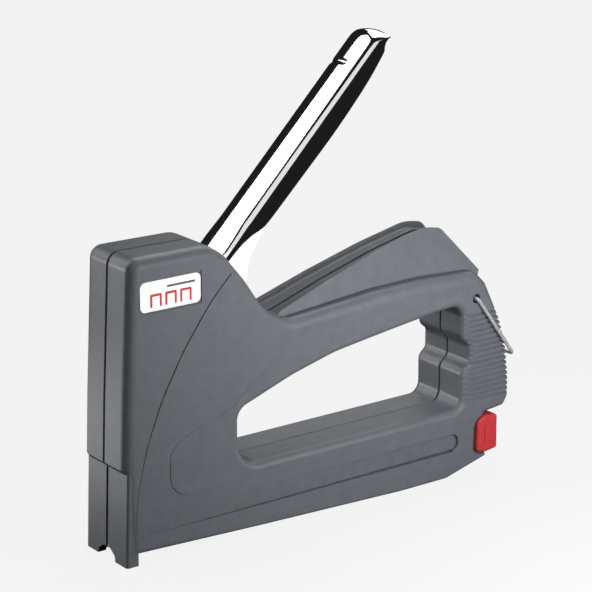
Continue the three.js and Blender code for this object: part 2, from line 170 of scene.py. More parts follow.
# ---- outlines ---------------------------------------------------------------------------------
def place(x, y, z):
    """A point given in millimetres from the nose datum, in the frame's metres."""
    return Vector((NOSE_X + x * MM, y * MM, z * MM))


def rounded(corners, finest=9.0):
    """The outline's points, with each corner that has a radius turned into an arc."""
    points = []
    for i, corner in enumerate(corners):
        here = Vector(corner[:2])
        back = Vector(corners[i - 1][:2]) - here
        ahead = Vector(corners[(i + 1) % len(corners)][:2]) - here
        radius = corner[2] if len(corner) > 2 else 0
        if not radius:
            points.append(here)
            continue
        half = back.angle(ahead) / 2
        reach = min(radius / math.tan(half), back.length * 0.49, ahead.length * 0.49)
        radius = reach * math.tan(half)
        back.normalize()
        ahead.normalize()
        centre = here + (back + ahead).normalized() * (radius / math.sin(half))
        first = here + back * reach - centre
        sweep = math.pi - 2 * half
        if back.cross(ahead) > 0:
            sweep = -sweep
        steps = max(2, math.ceil(abs(math.degrees(sweep)) / finest))
        for k in range(steps + 1):
            a = sweep * k / steps
            points.append(centre + Matrix.Rotation(a, 2) @ first)
    return points


def inset(points, amounts):
    """Each point moved square to the outline by its own amount: inwards if it runs anticlockwise."""
    moved = []
    for i, p in enumerate(points):
        before = (p - points[i - 1]).normalized()
        after = (points[(i + 1) % len(points)] - p).normalized()
        side_a = Vector((-before.y, before.x))
        side_b = Vector((-after.y, after.x))
        middle = (side_a + side_b).normalized()
        moved.append(p + middle * (amounts[i] / max(middle.dot(side_a), 0.5)))
    return moved


# ---- modelling tools ----------------------------------------------------------------------------
def only(piece):
    """Selects one piece and makes it active."""
    bpy.ops.object.select_all(action="DESELECT")
    piece.select_set(True)
    bpy.context.view_layer.objects.active = piece


def loft(name, rings):
    """A closed solid: a filled circle laid on the first ring and extruded ring by ring."""
    count = len(rings[0])
    bpy.ops.object.select_all(action="DESELECT")
    bpy.ops.mesh.primitive_circle_add(vertices=count, radius=0.01, fill_type="NGON")
    piece = bpy.context.object
    piece.name = name
    bpy.ops.object.mode_set(mode="EDIT")
    for number, ring in enumerate(rings):
        if number:
            bpy.ops.mesh.extrude_region_move()
        mesh = bmesh.from_edit_mesh(piece.data)
        mesh.verts.ensure_lookup_table()
        for vert, point in zip(mesh.verts[-count:], ring):
            vert.co = point
        bmesh.update_edit_mesh(piece.data)
    bpy.ops.mesh.select_all(action="SELECT")
    bpy.ops.mesh.normals_make_consistent(inside=False)
    bpy.ops.object.mode_set(mode="OBJECT")
    return piece


def across(name, points, levels):
    """A solid from a side outline; levels are (y, inset) or (y, list of insets)."""
    rings = []
    for y, amount in levels:
        amounts = amount if isinstance(amount, list) else [amount] * len(points)
        rings.append([place(p.x, y, p.y) for p in inset(points, amounts)])
    return loft(name, rings)


def round_bar(name, x, z, radius, y0, y1, sides=32):
    """A round bar across the width."""
    turn = [2 * math.pi * (k + 0.37) / sides for k in range(sides)]
    circle = [(x + radius * math.cos(a), z + radius * math.sin(a)) for a in turn]
    return loft(name, [[place(cx, y, cz) for cx, cz in circle] for y in (y0, y1)])


def block(name, x0, x1, y0, y1, z0, z1):
    """A plain block, used as a cutter or a rib."""
    corners = [(x0, z0), (x1, z0), (x1, z1), (x0, z1)]
    return loft(name, [[place(x, y, z) for x, z in corners] for y in (y0, y1)])


def combine(piece, tool, how="DIFFERENCE"):
    """Cuts the tool out of the piece, or joins it on, and removes the tool."""
    only(piece)
    bpy.ops.object.modifier_add(type="BOOLEAN")
    step = piece.modifiers[-1]
    step.operation = how
    step.solver = "EXACT"
    step.object = tool
    bpy.ops.object.modifier_apply(modifier=step.name)
    if not piece.data.polygons:
        raise RuntimeError(f"{piece.name}: nothing is left after {how} with {tool.name}")
    bpy.data.objects.remove(tool)
    return piece


def apply_all(piece):
    """Applies every modifier in order."""
    only(piece)
    for step in list(piece.modifiers):
        bpy.ops.object.modifier_apply(modifier=step.name)


def crisp(piece, width=0.14, segments=2, angle=34, keep_sharp=None):
    """Breaks the sharp edges with a small bevel, apart from those kept sharp, and smooths the shading."""
    only(piece)
    bpy.ops.object.mode_set(mode="EDIT")
    mesh = bmesh.from_edit_mesh(piece.data)
    layers = mesh.edges.layers.float
    weight = layers.get("bevel_weight_edge") or layers.new("bevel_weight_edge")
    for edge in mesh.edges:
        sharp = len(edge.link_faces) == 2 and edge.calc_face_angle(0) > math.radians(angle)
        edge[weight] = 1.0 if sharp and not (keep_sharp and keep_sharp(edge)) else 0.0
    bmesh.update_edit_mesh(piece.data)
    bpy.ops.object.mode_set(mode="OBJECT")
    step = piece.modifiers.new("Broken edges", "BEVEL")
    step.width = width * MM
    step.segments = segments
    step.limit_method = "WEIGHT"
    step.use_clamp_overlap = True
    apply_all(piece)
    bpy.ops.object.shade_smooth_by_angle(angle=math.radians(angle))
    even = piece.modifiers.new("Even shading", "WEIGHTED_NORMAL")
    even.keep_sharp = True
    even.weight = 60
    apply_all(piece)
    return piece


def side_detail(edge):
    """True for the edges of the shallow steps and the groove on the housing's side."""
    return all(abs(v.co.y) > 12.0 * MM and v.co.x < NOSE_X + 137.0 * MM for v in edge.verts)


def tidy_mesh(piece):
    """Merges doubled points and turns the faces outwards."""
    only(piece)
    bpy.ops.object.mode_set(mode="EDIT")
    bpy.ops.mesh.select_all(action="SELECT")
    bpy.ops.mesh.remove_doubles(threshold=0.002 * MM)
    bpy.ops.mesh.dissolve_degenerate(threshold=0.002 * MM)
    bpy.ops.mesh.normals_make_consistent(inside=False)
    bpy.ops.object.mode_set(mode="OBJECT")
    return piece


def finish_piece(piece, material, body, replaced=()):
    """Gives a piece its material and its place in the frame."""
    piece.data.materials.clear()
    piece.data.materials.append(material)
    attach(piece, body)
    if replaced:
        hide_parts(*replaced)
    return piece


# ---- finishes -------------------------------------------------------------------------------
class Finish:
    """Node building for one material on object coordinates."""

    def __init__(self, name, colour, roughness, metallic=0.0):
        self.material = bpy.data.materials.new(name)
        self.material.use_nodes = True
        self.tree = self.material.node_tree
        self.shader = self.tree.nodes["Principled BSDF"]
        self.shader.inputs["Base Color"].default_value = (*colour, 1)
        self.shader.inputs["Roughness"].default_value = roughness
        self.shader.inputs["Metallic"].default_value = metallic
        self.place = self.tree.nodes.new("ShaderNodeTexCoord").outputs["Object"]
        self.bump_out = None

    def stretched(self, scale):
        mapping = self.tree.nodes.new("ShaderNodeMapping")
        mapping.inputs["Scale"].default_value = scale
        self.tree.links.new(self.place, mapping.inputs["Vector"])
        return mapping.outputs["Vector"]

    def noise(self, scale, detail=3.0, rough=0.55, where=None):
        node = self.tree.nodes.new("ShaderNodeTexNoise")
        node.inputs["Scale"].default_value = scale
        node.inputs["Detail"].default_value = detail
        node.inputs["Roughness"].default_value = rough
        self.tree.links.new(where or self.place, node.inputs["Vector"])
        return node.outputs["Fac"]

    def spread(self, value, low, high, start=0.3, end=0.7):
        node = self.tree.nodes.new("ShaderNodeMapRange")
        for key, number in (("From Min", start), ("From Max", end), ("To Min", low), ("To Max", high)):
            node.inputs[key].default_value = number
        self.tree.links.new(value, node.inputs["Value"])
        return node.outputs["Result"]

    def tones(self, value, dark, light):
        ramp = self.tree.nodes.new("ShaderNodeValToRGB")
        ramp.color_ramp.elements[0].position = 0.32
        ramp.color_ramp.elements[1].position = 0.68
        ramp.color_ramp.elements[0].color = (*dark, 1)
        ramp.color_ramp.elements[1].color = (*light, 1)
        self.tree.links.new(value, ramp.inputs["Fac"])
        self.tree.links.new(ramp.outputs["Color"], self.shader.inputs["Base Color"])

    def roughness(self, value):
        self.tree.links.new(value, self.shader.inputs["Roughness"])

    def bump(self, value, strength, distance):
        node = self.tree.nodes.new("ShaderNodeBump")
        node.inputs["Strength"].default_value = strength
        node.inputs["Distance"].default_value = distance * MM
        self.tree.links.new(value, node.inputs["Height"])
        if self.bump_out:
            self.tree.links.new(self.bump_out, node.inputs["Normal"])
        self.bump_out = node.outputs["Normal"]
        self.tree.links.new(self.bump_out, self.shader.inputs["Normal"])


def shade(colour, factor):
    return tuple(min(1.0, c * factor) for c in colour)


def slate_coat(colour):
    f = Finish("slate_coat", colour, 0.36)
    f.tones(f.noise(240, 4), shade(colour, 0.93), shade(colour, 1.07))
    f.roughness(f.spread(f.noise(900, 3), 0.31, 0.41))
    f.bump(f.noise(3200, 2, 0.6), 0.22, 0.06)
    f.bump(f.noise(420, 2), 0.06, 0.10)
    f.shader.inputs["Specular IOR Level"].default_value = 0.5
    return f.material


def chrome_plate(colour):
    f = Finish("chrome_plate", colour, 0.06, 1.0)
    f.tones(f.noise(60, 3), shade(colour, 0.985), colour)
    f.roughness(f.spread(f.noise(700, 4), 0.035, 0.085))
    f.bump(f.noise(35, 1), 0.03, 0.08)
    return f.material


def satin_steel(name, colour, rough, grain=(1, 1, 1), metal=1.0):
    f = Finish(name, colour, rough, metal)
    f.tones(f.noise(500, 3, where=f.stretched(grain)), shade(colour, 0.88), shade(colour, 1.08))
    f.roughness(f.spread(f.noise(1800, 3, where=f.stretched(grain)), rough - 0.07, rough + 0.08))
    f.bump(f.noise(2600, 2, where=f.stretched(grain)), 0.12, 0.03)
    return f.material


def moulded(name, colour, rough):
    f = Finish(name, colour, rough)
    f.tones(f.noise(320, 3), shade(colour, 0.93), shade(colour, 1.06))
    f.roughness(f.spread(f.noise(1100, 3), rough - 0.05, rough + 0.06))
    f.bump(f.noise(2800, 2), 0.16, 0.04)
    return f.material


MATERIALS = {}


class STAPLEGUN_OT_finishes(bpy.types.Operator):
    """Makes the finishes: slate coat, chrome, steels, moulded plastic, rubber and label"""

    bl_idname = "staplegun.finishes"
    bl_label = "Make the finishes"

    def execute(self, context):
        colours = context.scene.staplegun_colours
        MATERIALS.update(
            slate=slate_coat(tuple(colours.slate)),
            chrome=chrome_plate(tuple(colours.chrome)),
            red=moulded("red_moulding", tuple(colours.red), 0.36),
            label=moulded("label_film", tuple(colours.label), 0.42),
            label_red=moulded("label_red_ink", (0.50, 0.035, 0.04), 0.42),
            label_grey=moulded("label_grey_ink", (0.075, 0.08, 0.085), 0.45),
            steel=satin_steel("bright_steel", (0.62, 0.63, 0.65), 0.30, (1, 1, 0.2)),
            ear_steel=satin_steel("plated_ear", (0.90, 0.90, 0.90), 0.52, metal=0.3),
            wire=satin_steel("bright_wire", (0.93, 0.93, 0.94), 0.30, metal=0.7),
            dark_steel=satin_steel("dark_steel", (0.20, 0.205, 0.215), 0.38),
            screw_steel=satin_steel("blackened_screw", (0.16, 0.165, 0.175), 0.36),
            spring_steel=satin_steel("spring_wire", (0.46, 0.47, 0.49), 0.28),
            staple_wire=satin_steel("staple_wire", (0.70, 0.70, 0.69), 0.34, (3, 0.2, 0.2)),
            brass=satin_steel("turned_brass", (0.62, 0.44, 0.16), 0.30, (1, 0.2, 1)),
            rubber=moulded("black_rubber", (0.016, 0.016, 0.017), 0.72),
        )
        return {"FINISHED"}


# ---- housing ----------------------------------------------------------------------------------
def outline_rounding(points, sizes):
    """How far the side edge is rounded at each point of the body outline."""
    rounding = []
    for p in points:
        r = sizes.edge_round / MM
        if p.y > NOSE_STEP_HEIGHT and (p.x < 2.2 or p.y > 97.0):
            r = sizes.nose_round / MM
        elif p.y > 74 and p.x < 55:
            r = SLOPE_ROUND
        elif p.y > 58 and p.x > HANDLE_START:
            t = max(0.0, min(1.0, (p.x - HANDLE_START) / HANDLE_BLEND))
            r += (sizes.handle_round / MM - r) * t * t * (3 - 2 * t)
        elif p.y < 8 and p.x > 2:
            r = 1.0
        rounding.append(r)
    return rounding


def belly_level(z):
    """How far the belly's face stands from the middle: it fades into the handle upwards."""
    return HALF_WIDTH - BELLY_STEP * (1 - (z - BELLY_FOOT) / BELLY_HEIGHT)


def face_level(p):
    """How far the outer face stands from the middle at a point of the outline."""
    if p.x < 43:
        return HALF_WIDTH - 0.4
    return min(HALF_WIDTH, belly_level(p.y)) if p.y < 20.2 else HALF_WIDTH


def edge_rings(points, rounding, side, outer, grow, steps=8):
    """Rings that round an outline over to its outer face; grow is 1 inwards, -1 outwards."""
    rings = []
    for k in range(steps):
        a = math.pi / 2 * k / (steps - 1)
        moved = inset(points, [grow * r * (1 - math.cos(a)) for r in rounding])
        rings.append([place(p.x, side * (y - r * (1 - math.sin(a))), p.y)
                      for p, r, y in zip(moved, rounding, outer)])
    return rings


def body_half(side, sizes):
    """The solid half, before it is hollowed."""
    points = rounded(BODY)
    rounding = outline_rounding(points, sizes)
    rings = []
    for y, amount in ((SEAM, 0.3), (SEAM + 0.3, 0.0)):
        rings.append([place(p.x, side * y, p.y) for p in inset(points, [amount] * len(points))])
    rings += edge_rings(points, rounding, side, [face_level(p) for p in points], 1)
    last = inset(points, [r + 0.25 for r in rounding])
    rings.append([place(p.x, side * HALF_WIDTH, p.y) for p in last])
    return loft("housing_shell", rings)


def finger_cutter(side, sizes):
    """The finger opening, opening out at its rim and at the seam."""
    points = rounded(FINGER_HOLE)
    rim = []
    for p in points:
        r = sizes.rim_round / MM
        if p.x > 130:
            r -= 1.1 * math.exp(-(((p.y - 44.2) / 4.6) ** 2))
        rim.append(r)
    rings = []
    for y, amount in ((SEAM - 0.2, -0.5), (SEAM + 0.3, 0.0)):
        rings.append([place(p.x, side * y, p.y) for p in inset(points, [amount] * len(points))])
    rings += edge_rings(points, rim, side, [HALF_WIDTH + 0.03] * len(points), -1)
    wide = inset(points, [-r for r in rim])
    rings.append([place(p.x, side * (HALF_WIDTH + 1), p.y) for p in wide])
    return loft("finger_cutter", rings)


def nose_block(side):
    """The narrower lower nose with its foot."""
    rings = []
    for z, lean in ((0.0, -1.25), (31.9, -0.05)):
        front = rounded([(lean, SEAM), (3.4, SEAM), (3.4, FOOT_HALF, 0.4), (lean, FOOT_HALF, 1.0)])
        rings.append([place(p.x, side * p.y, z) for p in front])
    return loft("nose_block", rings)


def grip_cutter(side, sizes):
    """Grooves that run round the grip, joined into one cutter."""
    cutters = []
    shape = ((-0.74, -0.3, 0.0), (-0.6, -0.1, 0.35), (-0.46, 0.22, 0.65), (-0.28, 0.62, 0.85),
             (-0.1, 0.84, 0.9), (0.1, 0.84, 0.9), (0.28, 0.62, 0.85), (0.46, 0.22, 0.65),
             (0.6, -0.1, 0.35), (0.74, -0.3, 0.0))
    for i in range(sizes.grip_ribs):
        z = 27.2 + i * sizes.rib_pitch / MM
        t = (z - 25) / 36
        rear = 159.35 - 7.2 * t * t - 0.2 * t
        front = 138.6 + 3.0 * math.exp(-(((z - 44.2) / 5.5) ** 2))
        rings = []
        for dz, depth, end_depth in shape:
            flat, deep = HALF_WIDTH - depth, HALF_WIDTH - end_depth
            back = rear + 0.3 - 0.6 * max(0.0, depth)
            plan = [(front + 2.8, flat), (front + 1.0, deep), (front - 1.2, deep), (front - 1.2, 16),
                    (175, 16), (175, -1), (back, -1), (back, flat, 2.3)]
            rings.append([place(p.x, side * p.y, z + dz) for p in rounded(plan)])
        cutters.append(loft(f"grip_{i}", rings))
    only(cutters[0])
    for cutter in cutters[1:]:
        cutter.select_set(True)
    bpy.ops.object.join()
    return cutters[0]


def groove_cutter(side):
    """The long shallow groove, deepest at the rear and along its lower edge."""
    points = rounded(SIDE_GROOVE)
    floor, rim = [], []
    for p in points:
        depth = 0.4 + 1.3 * (p.x - 1.4) / 135 - 0.35 * (p.y - RAIL_TOP) / GROOVE_HEIGHT
        floor.append(place(p.x, side * (HALF_WIDTH - depth), p.y))
        rim.append(place(p.x, side * (HALF_WIDTH + 1), p.y + 0.2 * max(0.0, p.y - RAIL_TOP)))
    return loft("groove_cutter", [floor, rim])


def rail_slot(side):
    """The narrow slot under the groove, which widens towards the rear."""
    rings = []
    top = RAIL_TOP + 0.07
    for x, gap, depth in ((8, 0.12, 0.5), (40, 0.3, 1.3), (134, 0.5, 2.6)):
        inner, outer = side * (HALF_WIDTH - depth), side * (HALF_WIDTH + 1)
        bottom = RAIL_TOP - gap
        rings.append([place(x, y, z) for y, z in (
            (inner, bottom), (inner, top), (outer, top), (outer, bottom))])
    return loft("rail_slot", rings)


def common_half(side, sizes):
    """What both halves of the housing have."""
    shell = combine(body_half(side, sizes), finger_cutter(side, sizes))
    combine(shell, nose_block(side), "UNION")
    rib = rounded(HANDLE_RIB)
    rings = []
    for y, amount in ((SEAM, 0.25), (SEAM + 0.25, 0.0)):
        rings.append([place(p.x, side * y, p.y) for p in inset(rib, [amount] * len(rib))])
    draft = [7.6 - 0.15 * (p.y - 72) for p in rib]
    rings += edge_rings(rib, [2.1] * len(rib), side, draft, 1, 6)
    combine(shell, loft("rib", rings), "UNION")

    out = HALF_WIDTH + 2
    for corners, y in ((HEAD_HOLLOW, HEAD_BAY_HALF), (LEVER_SLOT, LEVER_BAY_HALF)):
        points = [Vector(c) for c in corners]
        combine(shell, across("hollow", points, [(side * -1, 0.0), (side * y, 0.0)]))
    # room for the magazine, the nose plate, the driver blade and the end cap
    for x0, x1, y1, z0, z1 in ((4, 160, MAGAZINE_BAY_HALF, 5.5, 17), (1.8, 4.4, 6.8, -3, 20),
                               (-6, 2.4, 0.62, -2, 31.2), (148.1, 154, out, 5.9, 21.2)):
        combine(shell, block("cutter", x0, x1, side * -1, side * y1, z0, z1))
    notch = [(side * -1, -1), (side * 5.4, -1), (side * 4.7, 2), (side * 2, 3.8), (side * -1, 3.8)]
    combine(shell, loft("notch", [[place(x, y, z) for y, z in notch] for x in (-6, 8)]))
    combine(shell, round_bar("bearing", *PIVOT, 5.37, side * 8.87, side * 12.03), "UNION")
    combine(shell, round_bar("post", 31, 92.5, 3.6, side * SEAM, side * 11.5), "UNION")
    combine(shell, round_bar("pin_bore", *PIVOT, PIN_BORE, side * -1, side * 11.9))

    face = [(side * (HALF_WIDTH - HEAD_STEP), 0.0), (side * out, 0.0)]
    combine(shell, across("face", rounded(HEAD_FACE, 6), face))
    belly = rounded(BELLY_FACE, 6)
    combine(shell, loft("belly", [
        [place(p.x, side * (belly_level(p.y) + 0.01), p.y) for p in belly],
        [place(p.x, side * out, p.y) for p in belly]]))
    combine(shell, groove_cutter(side))
    combine(shell, rail_slot(side))
    combine(shell, grip_cutter(side, sizes))
    recess = rounded([(143, 6.9, 1.6), (146, 5.9), (170, 5.9), (170, 21.3), (143, 21.3, 6.5)])
    combine(shell, across("recess", recess, [(side * CHEEK_FACE, 0.0), (side * out, 0.0)]))
    combine(shell, round_bar("bail_bore", *BAIL_HINGE, 1.7, side * 10.4, side * out))
    return shell


def mirrored(piece):
    """A copy on the other side, with its own mesh."""
    only(piece)
    bpy.ops.object.duplicate()
    twin = bpy.context.object
    bpy.ops.object.mode_set(mode="EDIT")
    bpy.ops.mesh.select_all(action="SELECT")
    bpy.ops.transform.mirror(constraint_axis=(False, True, False), orient_type="GLOBAL",
                             center_override=(0, 0, 0))
    bpy.ops.mesh.normals_make_consistent(inside=False)
    bpy.ops.object.mode_set(mode="OBJECT")
    return twin


class STAPLEGUN_OT_housing(bpy.types.Operator):
    """Models the two halves of the housing"""

    bl_idname = "staplegun.housing"
    bl_label = "Model the housing"

    def execute(self, context):
        sizes = context.scene.staplegun_sizes
        left = common_half(-1, sizes)
        right = mirrored(left)
        window = rounded([(5, 83.7, 0.5), (28.6, 83.7, 0.5), (28.6, 94.7, 0.5), (5, 94.7, 0.5)])
        combine(left, across("window", window, [(-LABEL_FLOOR, 0.0), (-15, 0.0)]))
        for number in SCREWS:
            low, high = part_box(f"housing_screw_{number}")
            x = ((low.x + high.x) / 2 - NOSE_X) / MM
            z = (low.z + high.z) / 2 / MM
            combine(right, round_bar("head_bore", x, z, 3.08, 10.03, 15))
        for shell, name in ((left, "housing_left"), (right, "housing_right")):
            tidy_mesh(shell)
            crisp(shell, keep_sharp=side_detail)
            shell.name = name + "_shell"
            finish_piece(shell, MATERIALS["slate"], "housing", [name])
        return {"FINISHED"}


# ---- label -----------------------------------------------------------------------------------
class STAPLEGUN_OT_label(bpy.types.Operator):
    """Models the label with its plain printed staples"""

    bl_idname = "staplegun.label"
    bl_label = "Model the label"

    def execute(self, context):
        film = rounded([(5.4, 84.3, 1.9), (28.2, 84.3, 1.9), (28.2, 94.1, 1.9), (5.4, 94.1, 1.9)])
        badge = across("badge", film, [(-12.3, 0.0), (-12.52, 0.0), (-12.6, 0.08)])
        crisp(badge, 0.04)
        badge.name = "badge_film"
        finish_piece(badge, MATERIALS["label"], "housing", ["label_badge"])

        def printed(name, shapes, ink):
            parts = [across(name, rounded(s, 12), [(-12.55, 0.0), (-12.66, 0.0)]) for s in shapes]
            only(parts[0])
            for part in parts[1:]:
                part.select_set(True)
            bpy.ops.object.join()
            parts[0].name = name
            finish_piece(parts[0], MATERIALS[ink], "housing")

        staples = []
        for k in range(3):
            x = 9.2 + 5.6 * k
            staples.append([(x, 85.6), (x + 0.75, 85.6), (x + 0.75, 89.1), (x + 3.55, 89.1),
                            (x + 3.55, 85.6), (x + 4.3, 85.6), (x + 4.3, 89.9, 0.4), (x, 89.9, 0.4)])
        printed("badge_staples", staples, "label_red")
        printed("badge_bars", [[(15.5, 91.3), (26, 91.3), (26, 92.0), (15.5, 92.0)]], "label_grey")
        return {"FINISHED"}


# ---- lever -----------------------------------------------------------------------------------
def turned_up(u, y, v, angle=45.5):
    """A point given along and above the lever from its hinge, at the lever's rest angle."""
    a = math.radians(angle)
    return place(PIVOT[0] + u * math.cos(a) - v * math.sin(a), y,
                 PIVOT[1] + u * math.sin(a) + v * math.cos(a))


def between(table, u):
    """A value read from a table of (station, value)."""
    for (u0, v0), (u1, v1) in zip(table, table[1:]):
        if u <= u1:
            t = max(0.0, (u - u0) / (u1 - u0))
            return v0 + (v1 - v0) * t
    return table[-1][1]


LEVER_SKIRT = [(13, 17.6), (19, 17.4), (23, 16.9), (26.4, 15.9), (29, 14.6), (31.3, 13.7), (34, 13.3),
               (42, 13.1), (70, 12.4), (85, 12.8), (92.5, 13.4), (102.4, 15.1)]
CURL_DEPTH = [(0, 6.2), (24, 5.3), (47, 3.4), (62, 1.9), (72, 1.5)]
CROWN = 21.3  # height of the lever's back above the line through its hinge
CROWN_SAG = 0.75  # how far the back falls from its middle to its shoulders
LEVER_HALF = 8.5
SHOULDER_WIDTH, SHOULDER_DROP, SHOULDER_TURN = 4.2, 4.4, 78
CURL_START, CURL_RADIUS = 102.4, 6.6
STATIONS = [13, 16, 19, 22, 24.5, 26.5, 28.5, 30, 31.3, 33, 36, 42, 50, 60, 70, 80, 88, 94, 98.5, 102.4]
CURL = [12, 24, 36, 47, 57, 65, 72]


def lever_section(u, turn):
    """Points (u, y, v) round the lever at one station, left skirt to right; turn is the curl in degrees."""
    a = math.radians(turn)
    if turn:
        along, up = CURL_START + CURL_RADIUS * math.sin(a), CROWN - CURL_RADIUS * (1 - math.cos(a))
        depth = between(CURL_DEPTH, turn)
        half = LEVER_HALF - 0.9 * max(0.0, (turn - 40) / 55) ** 2
    else:
        along, up, depth, half = u, CROWN, CROWN - between(LEVER_SKIRT, u), LEVER_HALF
    flat = half - 3.4
    sag = min(CROWN_SAG, depth * 0.3)
    drop = min(SHOULDER_DROP, (depth - sag) * 0.85)
    left = [(-half, depth), (-half, (depth + sag + drop) / 2)]
    for k in range(5):
        t = math.radians(SHOULDER_TURN * k / 4)
        left.append((-half + SHOULDER_WIDTH * (1 - math.cos(t)), sag + drop * (1 - math.sin(t))))
    left += [(-flat * 0.55, sag * 0.32)]
    points = left + [(0.0, 0.0)] + [(-y, d) for y, d in reversed(left)]
    return [(along - d * math.sin(a), y, up - d * math.cos(a)) for y, d in points]


class STAPLEGUN_OT_lever(bpy.types.Operator):
    """Models the chrome lever and its two ears"""

    bl_idname = "staplegun.lever"
    bl_label = "Model the lever"

    def execute(self, context):
        sizes = context.scene.staplegun_sizes
        rows = [lever_section(u, 0) for u in STATIONS] + [lever_section(0, a) for a in CURL]
        across_count = len(rows[0])
        bpy.ops.object.select_all(action="DESELECT")
        bpy.ops.mesh.primitive_grid_add(
            x_subdivisions=len(rows) - 1, y_subdivisions=across_count - 1, size=0.1)
        skin = bpy.context.object
        skin.name = "lever_channel"
        ordered = sorted(skin.data.vertices, key=lambda p: (round(p.co.x, 6), round(p.co.y, 6)))
        for number, vert in enumerate(ordered):
            row, column = divmod(number, across_count)
            vert.co = turned_up(*rows[row][column])
        only(skin)
        bpy.ops.object.mode_set(mode="EDIT")
        bpy.ops.mesh.select_all(action="SELECT")
        bpy.ops.mesh.normals_make_consistent(inside=False)
        bpy.ops.object.mode_set(mode="OBJECT")
        back = max(skin.data.polygons, key=lambda f: f.center.z - f.center.x)
        inward = -1.0 if back.normal.z > 0 else 1.0
        wall = skin.modifiers.new("Sheet", "SOLIDIFY")
        wall.thickness = sizes.sheet
        wall.offset = inward
        wall.use_even_offset = True
        smooth = skin.modifiers.new("Smooth", "SUBSURF")
        smooth.levels = smooth.render_levels = 2
        apply_all(skin)
        tidy_mesh(skin)
        turn = [2 * math.pi * k / 24 for k in range(24)]
        rings = []
        for y, r, v in ((-3.0, 0.4, 21.95), (-2.2, 1.4, 21.9), (0, 1.7, 22.0), (3, 1.7, 21.8),
                        (5.5, 1.7, 21.3), (7.2, 1.7, 20.6), (8.4, 1.7, 19.7), (9.6, 1.7, 18.8)):
            rings.append([turned_up(92 + r * math.cos(a), y, v + r * math.sin(a)) for a in turn])
        combine(skin, loft("notch", rings))
        bpy.ops.object.shade_smooth_by_angle(angle=math.radians(40))
        finish_piece(skin, MATERIALS["chrome"], "lever", ["lever"])

        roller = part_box("lift_roller")
        middle = (roller[0] + roller[1]) / 2
        dx, dz = (middle.x - NOSE_X) / MM, middle.z / MM
        arm = rounded([(dx - 3, dz - 2, 2), (dx + 1.5, dz - 3.4, 2.5), (PIVOT[0] + 4, PIVOT[1] - 7.6, 3),
                       (PIVOT[0] + 7, PIVOT[1] - 1, 3), (PIVOT[0] - 4, PIVOT[1] + 7.4, 3),
                       (dx - 2, dz + 3, 2.5)])
        for side, name in ((-1, "left"), (1, "right")):
            ear = loft("ear", [[turned_up(p.x, side * y, p.y) for p in rounded(EAR)] for y in (7.2, 7.9)])
            combine(ear, across("arm", arm, [(side * 7.22, 0.0), (side * 7.88, 0.0)]), "UNION")
            combine(ear, round_bar("hole", *PIVOT, EAR_BORE, side * 6, side * 9))
            crisp(ear, 0.1)
            ear.name = f"lever_ear_{name}"
            finish_piece(ear, MATERIALS["ear_steel"], "lever")
        return {"FINISHED"}


# ---- magazine cap and bail ---------------------------------------------------------------------
class STAPLEGUN_OT_cap(bpy.types.Operator):
    """Models the red magazine cap with its engraved bracket"""

    bl_idname = "staplegun.cap"
    bl_label = "Model the magazine cap"

    def execute(self, context):
        levels = []
        for k in range(5):
            a = math.pi / 2 * (1 - k / 4)
            levels.append((-14 + 0.8 * (1 - math.sin(a)), 0.8 * (1 - math.cos(a))))
        levels += [(-y, d) for y, d in reversed(levels)]
        points = rounded(CAP)
        cap = across("magazine_cap_cover", points, levels)
        combine(cap, block("inside", 130, 148.5, -12.1, 12.1, 0, 30))
        for side in (-1, 1):
            y0, y1 = side * 13.72, side * 15
            bracket = [(147.3, 10.2), (150.9, 10.2), (150.9, 10.55), (147.65, 10.55), (147.65, 16.05),
                       (150.9, 16.05), (150.9, 16.4), (147.3, 16.4)]
            combine(cap, loft("bracket", [[place(x, y, z) for x, z in bracket] for y in (y0, y1)]))
            for z in (10.1, 16.1):
                combine(cap, block("tick", 150.2, 151.0, y0, y1, z, z + 0.5))
        tidy_mesh(cap)
        crisp(cap, 0.08)
        finish_piece(cap, MATERIALS["red"], "magazine", ["magazine_cap"])
        return {"FINISHED"}


class STAPLEGUN_OT_bail(bpy.types.Operator):
    """Models the wire bail that locks the lever"""

    bl_idname = "staplegun.bail"
    bl_label = "Model the wire bail"

    def execute(self, context):
        sizes = context.scene.staplegun_sizes
        radius = sizes.wire / 2
        reach, drop, width, bend = 28.4, math.radians(54), 14.0, 1.6
        dx, dz = reach * math.cos(drop), -reach * math.sin(drop)

        def at(t, y):
            return place(BAIL_HINGE[0] + dx * t, y, BAIL_HINGE[1] + dz * t)

        f = bend / reach
        route = [at(0, -11.5)]
        for corner in ((0, -1), (1, -1), (1, 1), (0, 1)):
            t, side = corner
            along = f if t == 0 else 1 - f
            a, c = at(t, side * (width - bend)), at(along, side * width)
            b = at(t, side * width)
            if corner in ((1, -1), (0, 1)):
                a, c = c, a
            route += [(a * (1 - s) + b * s) * (1 - s) + (b * (1 - s) + c * s) * s
                      for s in (0, 0.2, 0.4, 0.6, 0.8, 1)]
        route.append(at(0, 11.5))
        rings = []
        for i, p in enumerate(route):
            ahead = (route[min(i + 1, len(route) - 1)] - route[max(i - 1, 0)]).normalized()
            level = Vector((dx, 0, dz)).normalized()
            out = ahead.cross(level.cross(Vector((0, 1, 0)))).normalized()
            other = ahead.cross(out).normalized()
            rings.append([p + out * radius * math.cos(2 * math.pi * k / 16)
                          + other * radius * math.sin(2 * math.pi * k / 16) for k in range(16)])
        bail = loft("bail_wire", rings)
        crisp(bail, 0.08, angle=50)
        finish_piece(bail, MATERIALS["wire"], "bail", ["lock_bail"])
        return {"FINISHED"}


